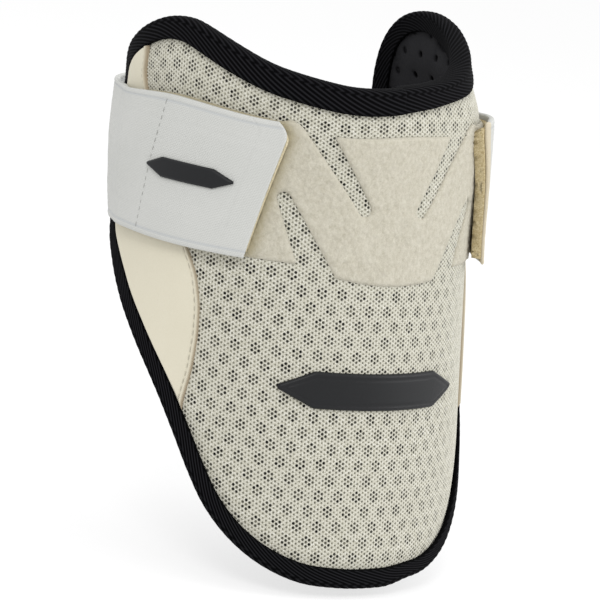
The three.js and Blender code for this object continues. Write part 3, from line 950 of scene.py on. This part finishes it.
def binding_section():
    """(inward, proud) round the tape, from the outer edge of the front lap."""
    shell = LAYER_GAP + BINDING_THICKNESS
    fold = FOLD_GAP + BINDING_THICKNESS
    back = EDGE_SQUEEZE - BODY_THICKNESS - LAYER_GAP - BINDING_THICKNESS
    outer = [(BINDING_WIDTH, 0.0), (BINDING_WIDTH - 0.1, 0.55 * shell),
             (BINDING_WIDTH - 0.5, 0.92 * shell)]
    outer += [(x, shell) for x in np.linspace(BINDING_WIDTH - 1.1, TAPE_TURN, 20)]
    turn = np.linspace(math.pi / 2, 1.5 * math.pi, 20)[1:-1]
    middle, half = (shell + back) / 2, (shell - back) / 2
    bend = [(TAPE_TURN - (fold + TAPE_TURN) * abs(math.cos(t)) ** 0.55, middle + half * math.sin(t))
            for t in turn]
    inner = [(x, back) for x in np.linspace(TAPE_TURN, BINDING_WIDTH - 0.6, 12)]
    inner += [(BINDING_WIDTH - 0.1, back + 0.4), (BINDING_WIDTH, back + 1.1)]
    under = [(BINDING_WIDTH - 1.5, back + 1.2), (1, back + 1.2), (-FOLD_GAP, back + 1.6),
             (-FOLD_GAP, shell - 1.6), (1, shell - 1.2), (BINDING_WIDTH - 1.5, 0.0)]
    return np.array(outer + bend + inner), np.array(under)


def edge_binding():
    shown, under = binding_section()
    section = np.concatenate([shown, under])
    line = even_loop(EDGE_LINE, BINDING_STEPS)
    length = np.linalg.norm(np.roll(line, -1, 0) - line, axis=1).sum()
    ribs = round(length / RIB_PITCH)
    run = run_of(shown)
    step = np.arange(BINDING_STEPS)[:, None] / BINDING_STEPS * length
    phase = (step + RIB_LEAN * run[None, :]) / (length / ribs)
    rib = 0.5 + 0.5 * np.cos(2 * math.pi * phase)
    flat = smooth(run, 0.3, 1.5) * fade(run, run[-1] - 1.5, run[-1] - 0.3)
    rib = rib * flat[None, :]
    normal = np.gradient(shown, axis=0)
    normal = np.stack([normal[:, 1], -normal[:, 0]], 1)
    normal /= np.maximum(np.linalg.norm(normal, axis=1, keepdims=True), 1e-9)
    places = np.repeat(section[None], BINDING_STEPS, 0)
    places[:, :len(shown)] += normal[None] * (RIB_HEIGHT * rib[..., None])
    waves = 0.25 * np.sin(step / 17.0) + 0.18 * np.sin(step / 7.3 + 1.0)
    places[:, :3, 0] += 0.5 * waves
    share = tape_share(line)[:, None]
    past = places[..., 0] - TAPE_TURN
    places[..., 0] = np.where(past > 0, TAPE_TURN + past * share, places[..., 0])
    pattern = np.empty((BINDING_STEPS, len(section), 3))
    for k in range(len(section)):
        pattern[:, k, :2] = inset(line, places[:, k, 0])
        pattern[:, k, 2] = places[:, k, 1]
    at = np.arange(pattern.shape[0] * pattern.shape[1]).reshape(pattern.shape[:2])
    a, b = at, np.roll(at, -1, 0)
    c, d = np.roll(b, -1, 1), np.roll(a, -1, 1)
    # The rib crests are also painted lighter in the tape's colour: a painted highlight.
    marks = np.zeros(pattern.shape[:2])
    marks[:, :len(shown)] = rib
    obj = new_piece("edge_tape", pattern.reshape(-1, 3), halves(a, b, c, d), TAPE,
                    {"rib": marks.ravel()})
    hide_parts("edge_binding")
    return obj


# Side panels
SEAM_WIDTH = 0.5                # of the brown line along a panel's front edge
SIDE_PANEL_SPAN = (0.29, 1.10)  # heights between which it may lie, as shares
SIDE_STITCH_SPAN = (0.31, 1.06)
SIDE_STITCH_IN = 1.7            # of the stitches and their groove from the front edge
SIDE_UNDER_TAPE = 1.0           # how far a panel goes on under the tape


def side_panel(side, name, node):
    heights = np.linspace(*SIDE_PANEL_SPAN, 900) * FRONT_HEIGHT
    widths = np.array([tape_edge(h, side) + SIDE_UNDER_TAPE - side_panel_front(h) for h in heights])
    shown = heights[widths > 0.8]
    rows = np.linspace(shown.min(), shown.max(), 260)
    front = side_panel_front(rows)
    front = np.convolve(np.pad(front, 6, mode="edge"), np.ones(13) / 13, "valid")
    back = np.array([tape_edge(h, side) for h in rows]) + SIDE_UNDER_TAPE
    across = np.concatenate([
        np.linspace(0, 0.09, 14), np.linspace(0.11, 0.9, 40), np.linspace(0.92, 1, 8)])
    out = front[:, None] + (np.maximum(back, front + 0.5) - front)[:, None] * across
    depth = out - front[:, None]
    tuck = smooth(back[:, None] - out, 0.9, 2.7)
    welt = 0.35 * bell(depth - 0.8, 0.5) - 0.3 * bell(depth - SIDE_STITCH_IN, 0.35)
    swell = 0.25 * smooth(depth, 2, 9)
    outer = 0.1 + (PANEL_FACE - 0.1 + welt + swell) * rounded(depth, 0.7) * mix(0.08, 1, tuck)
    height = np.broadcast_to(rows[:, None], out.shape)
    line = bell(depth, SEAM_WIDTH)
    if side < 0:
        out, height, outer, line = mirrored(out, height, outer, line)
    pattern, faces = slab(out, height, outer, np.full(out.shape, -0.2))
    obj = new_piece(name, pattern, faces, SIDE, {"line": np.tile(line.ravel(), 2)})
    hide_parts(node)
    return obj


# Loop panel: a brushed face with soft edges and slots, and a painted shadow beside the strap's left end
LOOP_PITCH = 0.9
END_SHADOW = 0.75                # painted shadow on the panel beside the strap's left end, at its darkest
END_SHADOW_REACH = 3.2


def loop_panel():
    low, high = LOOP_EDGE.min(0), LOOP_EDGE.max(0)
    points, faces, depth = cut_patch(panel_reach, low, high, LOOP_PITCH)
    ruffle = 0.10 * np.sin(points[:, 0] * 2.1 + 3 * np.sin(points[:, 1] * 0.9))
    ruffle += 0.14 * chance.standard_normal(len(points))
    full = PANEL_THICKNESS + 0.25 + ruffle * smooth(depth, 0, 1)
    outer = LAYER_GAP + full * rounded(depth + 0.15, 1.6)
    pattern, faces = closed_patch(points, faces, outer, LAYER_GAP - 0.25)
    share = (pattern[:, 1] - STRAP_BOTTOM) / STRAP_WIDTH
    beyond = strap_end(np.clip(share, 0, 1), 0) - np.abs(pattern[:, 0])
    # A painted shadow of the strap's left end: the panel turns darker tan next to that end and fades
    # away from it.
    painted_shadow = np.where(pattern[:, 0] < 0, END_SHADOW, 0) * smooth(share, -0.1, 0.05)
    painted_shadow = painted_shadow * bell(np.maximum(beyond, 0), END_SHADOW_REACH)
    obj = new_piece("loop_cloth", pattern, faces, LOOP, {"painted_shadow": painted_shadow})
    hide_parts("loop_panel")
    return obj


# Strap
RIGHT_END_SHIFT = 1.0
END_LIFT = 2.9                  # how far the right end stands off the loop panel
END_LIFT_TOP = 0.3              # of that at the strap's upper edge
END_LIFT_LENGTH = 13
BEHIND_OUT = (118, 150)         # where the strap leaves the body for its own ring
BEHIND_TILT = 0.6               # of its lower edge towards the arm there
BEHIND_TUCK = 2.9               # more at that edge, over the width below
BEHIND_CORNER = 12
SELVEDGE = 2.3                  # of the groove and the grey band along each edge
HEM = 9                         # folded back at each end
STITCH_TOP = (86.5, 159.5)      # stitch line across the strap, along and height
STITCH_BOTTOM = (97, 116.5)


def strap_end(share, right=0.0):
    """Distance of the strap's end from the centreline; the right end has a sharper corner."""
    straight = mix(STRAP_END_BOTTOM, STRAP_END_TOP, share) - RIGHT_END_SHIFT * right
    corner = np.maximum(0, 1 - (1 - share) * STRAP_WIDTH / STRAP_CORNER)
    return straight + mix(STRAP_CORNER_RUN, 1.5, right) * corner * corner


def strap_proud(out):
    ramp = STRAP_END_BOTTOM + HOOK_LENGTH + STRAP_RAMP_START
    return mix(STRAP_OVER_HOOK, HOOK_FACE, smooth(out, ramp, ramp + STRAP_RAMP_LENGTH))


def end_lift(from_end, share):
    return END_LIFT * mix(1, END_LIFT_TOP, share) * fade(from_end, -1, END_LIFT_LENGTH) ** 1.2


def behind(out, height):
    """Brings the strap behind the wings from the body's cone to an upright ring."""
    share = (height - STRAP_BOTTOM) / STRAP_WIDTH
    corner = np.maximum(0, 1 - share * STRAP_WIDTH / BEHIND_CORNER)
    upright = face_radius(STRAP_CENTRE) - face_radius(height)
    tuck = BEHIND_TILT * (1 - share) + BEHIND_TUCK * corner ** 2
    return (upright - tuck) * smooth(out, *BEHIND_OUT)


def edge_spaced(count, bias=2.2):
    """Shares from 0 to 1, closer together at both ends."""
    t = np.linspace(-1, 1, count)
    return 0.5 + 0.5 * np.sign(t) * (1 - (1 - np.abs(t)) ** bias)


def from_edges(share, length):
    return np.minimum(share, 1 - share) * length


def stitch_line(height):
    """Distance of the stitches across the strap from the centreline."""
    share = (height - STITCH_BOTTOM[1]) / (STITCH_TOP[1] - STITCH_BOTTOM[1])
    return mix(STITCH_BOTTOM[0], STITCH_TOP[0], share)


def strap_faces(share, u):
    height = STRAP_BOTTOM + share * STRAP_WIDTH
    circle = 2 * math.pi * face_radius(height)
    along = mix(strap_end(share, 1.0), circle - strap_end(share), u)
    return along, height, circle


def elastic_strap():
    share = edge_spaced(70)[:, None]
    u = edge_spaced(520, 1.5)[None, :]
    along, height, circle = strap_faces(share, u)
    out = np.minimum(along, circle - along)
    from_right = along - strap_end(share, 1.0)
    from_end = np.minimum(from_right, circle - strap_end(share) - along)
    edge = from_edges(share, STRAP_WIDTH)
    seat = strap_proud(out) + end_lift(from_right, share) + behind(out, height)
    groove = -0.18 * bell(edge - SELVEDGE, 0.28)
    weave = 0.05 * np.cos(2 * math.pi * height / 1.27) + 0.03 * np.cos(2 * math.pi * along / 1.1)
    seam = -0.22 * bell(out - stitch_line(height), 0.45)
    hem = 0.10 * fade(from_end, HEM - 0.5, HEM + 0.5)
    pull = -0.18 * bell(from_end - HEM, 0.4)
    full = STRAP_THICKNESS + groove + weave + seam + hem + pull
    side = np.minimum(rounded(edge + 0.02, 0.9), rounded(from_end + 0.02, 0.9))
    middle = seat + STRAP_THICKNESS / 2
    thin = mix(0.62, 1, smooth(from_end, 0, 12))
    outer = middle + (seat + full - middle) * side * thin
    inner = middle - STRAP_THICKNESS / 2 * side * thin
    pattern, faces = slab(along, np.broadcast_to(height, along.shape), outer, inner)
    band = np.broadcast_to(bell(edge - SELVEDGE, 0.4), along.shape).ravel()
    tan = fade(from_right, 4.0, 4.6).ravel()
    obj = new_piece("elastic_strap", pattern, faces, STRAP,
                    {"band": np.tile(band, 2), "tan": np.tile(tan, 2)})
    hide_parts("strap")
    length = 2 * math.pi * (face_radius(STRAP_CENTRE) + 3) - 2 * strap_end(0.5)
    return obj


# Hook tape under each strap end
END_HOOKS = 1.2                 # how far the hooks of the lifted end reach back to the panel


def hook_tab(side, name, node):
    share = edge_spaced(40)[:, None]
    u = edge_spaced(90)[None, :]
    height = STRAP_BOTTOM + HOOK_INSET + share * (STRAP_WIDTH - 2 * HOOK_INSET)
    right = 1.0 if side > 0 else 0.0
    out = strap_end(share, right) + mix(-0.5 - 0.5 * right, HOOK_LENGTH, u)
    from_end = out - strap_end(share, right)
    rough = 0.12 * chance.standard_normal(out.shape)
    edge = np.minimum(from_edges(share, STRAP_WIDTH), from_edges(u, HOOK_LENGTH))
    face = HOOK_FACE + right * end_lift(from_end, share)
    gap = 0.9 * fade(from_end, 0, 12)
    hooks = END_HOOKS * right * fade(from_end, 0, 10)
    outer = face + 0.7 + (HOOK_THICKNESS + gap - 0.7) * rounded(edge + 0.05, 0.5) + rough * 0.4
    inner = face + 0.15 * np.abs(rough) - hooks
    height = np.broadcast_to(height, out.shape)
    if side < 0:
        out, height, outer, inner = mirrored(out, height, outer, inner)
    pattern, faces = slab(out, height, outer, inner)
    obj = new_piece(name, pattern, faces, HOOK_FIELD if side > 0 else HOOK_EDGE)
    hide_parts(node)
    return obj


# Badges
def badge(name, node, size, seat):
    t = np.linspace(-1, 1, 161)[None, :]
    across = edge_spaced(25, 1.8)[:, None] * 2 - 1
    point = size["width"] / size["length"]
    end = np.minimum((1 - np.abs(t)) / 2 / point, 1)
    width = mix(BADGE_TIP_WIDTH, 1, end)
    half = size["width"] / 2 * width
    depth = np.minimum(half * (1 - np.abs(across)), (1 - np.abs(t)) / 2 * size["length"])
    crest = size["thick"] - BADGE_BEVEL * (1 - rounded(depth + 0.02, 1.1)) * 2.2
    groove = -0.25 * bell(depth - 1.9, 0.32) * (size["width"] > 10)
    outer = seat + np.maximum(crest + groove, 0.3)
    along = size["along"] + t / 2 * size["length"] + 0 * across
    height = size["height"] + across * half
    pattern, faces = slab(along, height, outer, np.full(outer.shape, seat - 0.25))
    obj = new_piece(name, pattern, faces, BADGE)
    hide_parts(node)
    return obj


# Stitches: short raised threads, joined in one mesh
STITCH_LENGTH = 2.2
STITCH_GAP = 0.7
THREAD = 0.28
THREAD_STEPS = 6
THREAD_SIDES = 6


def thread(way_points, high):
    """One raised thread over these flat points, with its ends sunk and closed."""
    arch = np.sin(np.linspace(0, 1, THREAD_STEPS) * math.pi) ** 0.5
    way = np.gradient(way_points, axis=0)
    way /= np.linalg.norm(way, axis=1, keepdims=True)
    side = np.stack([-way[:, 1], way[:, 0]], 1)
    turn = np.arange(THREAD_SIDES) / THREAD_SIDES * 2 * math.pi
    radius = (THREAD / 2 * (0.4 + 0.6 * arch))[:, None]
    centre = (high + THREAD * (arch - 0.9))[:, None]
    ring = np.stack([way_points[:, :1] + side[:, :1] * radius * np.cos(turn),
                     way_points[:, 1:] + side[:, 1:] * radius * np.cos(turn),
                     centre + radius * np.sin(turn)], -1)
    at = np.arange(THREAD_STEPS * THREAD_SIDES).reshape(THREAD_STEPS, THREAD_SIDES)
    after = np.roll(at, -1, 1)
    k = np.arange(1, THREAD_SIDES - 1)
    caps = [np.stack([0 * k, k, k + 1], 1), at[-1, 0] + np.stack([0 * k, k + 1, k], 1)]
    tube = halves(at[:-1], after[:-1], after[1:], at[1:])[:, ::-1]
    return ring.reshape(-1, 3), np.concatenate([tube] + caps)


def stitches(name, path, proud, material):
    run = run_of(path)
    parts = []
    for start in np.arange(0.3, run[-1] - STITCH_LENGTH, STITCH_LENGTH + STITCH_GAP):
        t = start + np.linspace(0, 1, THREAD_STEPS) * STITCH_LENGTH
        flat = np.stack([np.interp(t, run, path[:, 0]), np.interp(t, run, path[:, 1])], 1)
        parts.append(thread(flat, np.interp(t, run, proud)))
    pattern, faces = joined(parts)
    obj = new_piece(name, pattern, faces, material)
    return obj


def all_stitches():
    for side, word in ((-1, "left"), (1, "right")):
        rows = np.linspace(*SIDE_STITCH_SPAN, 200) * FRONT_HEIGHT
        reach = np.array([tape_edge(h, side) for h in rows])
        rows = rows[reach > side_panel_front(rows) + 2.5]
        path = np.column_stack([side * (side_panel_front(rows) + SIDE_STITCH_IN), rows])
        proud = np.full(len(rows), PANEL_FACE - 0.05)
        stitches(f"side_stitch_{word}", path, proud, PALE_THREAD)
        height = STRAP_BOTTOM + np.linspace(0.03, 0.97, 60) * STRAP_WIDTH
        out = stitch_line(height)
        proud = strap_proud(out) + STRAP_THICKNESS - 0.12
        stitches(f"strap_stitch_{word}", np.column_stack([side * out, height]), proud,
                 STRAP_THREAD)


# Stage, light and camera
FLOOR_DROP = 1.2                # of the floor below the tongue
FLOOR_REACH = 40
CAMERA_AZIMUTH = -35.3
CAMERA_ELEVATION = 10.6
CAMERA_ROLL = 8
CAMERA_DISTANCE = 1.0
CAMERA_TARGET = (0, 0, -0.054)
CAMERA_LENS = 159.5
CAMERA_RIGHT = 0.01026          # moves the picture so that the target falls left of its centre
CAMERA_UP = 0.00164
LIGHT_TARGET = (0, 0, -0.04)


def add_floor():
    mesh = bpy.data.meshes.new("floor")
    z = -STRAP_CENTRE / 1000 - FLOOR_DROP / 1000 - (BINDING_THICKNESS + FOLD_GAP) / 1000
    r = FLOOR_REACH
    mesh.from_pydata([(-r, -r, z), (r, -r, z), (r, r, z), (-r, r, z)], [], [(0, 1, 2, 3)])
    look = Look("floor_paper")
    look.set(Base_Color=(0.35, 0.35, 0.35, 1), Roughness=0.9, Specular_IOR_Level=0.0,
             Emission_Color=(1, 1, 1, 1), Emission_Strength=0.62)
    mesh.materials.append(look.material)
    floor = bpy.data.objects.new("floor", mesh)
    bpy.context.collection.objects.link(floor)


def add_light(name, place, size, power):
    data = bpy.data.lights.new(name, "AREA")
    data.shape = "DISK"
    data.size = size
    data.energy = power
    light = bpy.data.objects.new(name, data)
    light.location = place
    aim = Vector(LIGHT_TARGET) - Vector(place)
    light.rotation_euler = aim.to_track_quat("-Z", "Y").to_euler()
    bpy.context.collection.objects.link(light)


def add_world():
    world = bpy.data.worlds.new("studio")
    world.use_nodes = True
    back = world.node_tree.nodes["Background"]
    back.inputs[0].default_value = (1, 1, 1, 1)
    back.inputs[1].default_value = 1.0
    bpy.context.scene.world = world
    bpy.context.scene.view_settings.view_transform = "Standard"


def add_camera():
    a, e, r = (math.radians(x) for x in (CAMERA_AZIMUTH, CAMERA_ELEVATION, CAMERA_ROLL))
    back = Vector((math.sin(a) * math.cos(e), -math.cos(a) * math.cos(e), math.sin(e)))
    level = Vector((math.cos(a), math.sin(a), 0))
    upright = back.cross(level)
    right = level * math.cos(r) + upright * math.sin(r)
    up = upright * math.cos(r) - level * math.sin(r)
    place = (Vector(CAMERA_TARGET) + back * CAMERA_DISTANCE
             + right * CAMERA_RIGHT + up * CAMERA_UP)
    data = bpy.data.cameras.new("camera")
    data.lens = CAMERA_LENS
    data.sensor_width = 36
    data.clip_start = 0.01
    camera = bpy.data.objects.new("camera", data)
    turn = Matrix((right, up, back)).transposed().to_4x4()
    camera.matrix_world = Matrix.Translation(place) @ turn
    bpy.context.collection.objects.link(camera)
    bpy.context.scene.camera = camera


net_cover()
foam_lining()
side_panel(-1, "side_cloth_left", "side_panel_left")
side_panel(1, "side_cloth_right", "side_panel_right")
loop_panel()
elastic_strap()
edge_binding()
hook_tab(-1, "hook_tape_left", "hook_tab_left")
hook_tab(1, "hook_tape_right", "hook_tab_right")
badge("front_emblem", "front_badge", FRONT_BADGE, LAYER_GAP)
badge("strap_emblem", "strap_badge", STRAP_BADGE,
      float(strap_proud(75.0)) + STRAP_THICKNESS + LAYER_GAP)
all_stitches()

add_floor()
add_world()
add_light("key", (-0.9, -1.1, 1.3), 0.7, 11)
add_light("fill", (1.3, -0.9, 0.6), 1.2, 11.5)
add_light("top", (0.1, 0.2, 1.5), 1.2, 3)
add_camera()
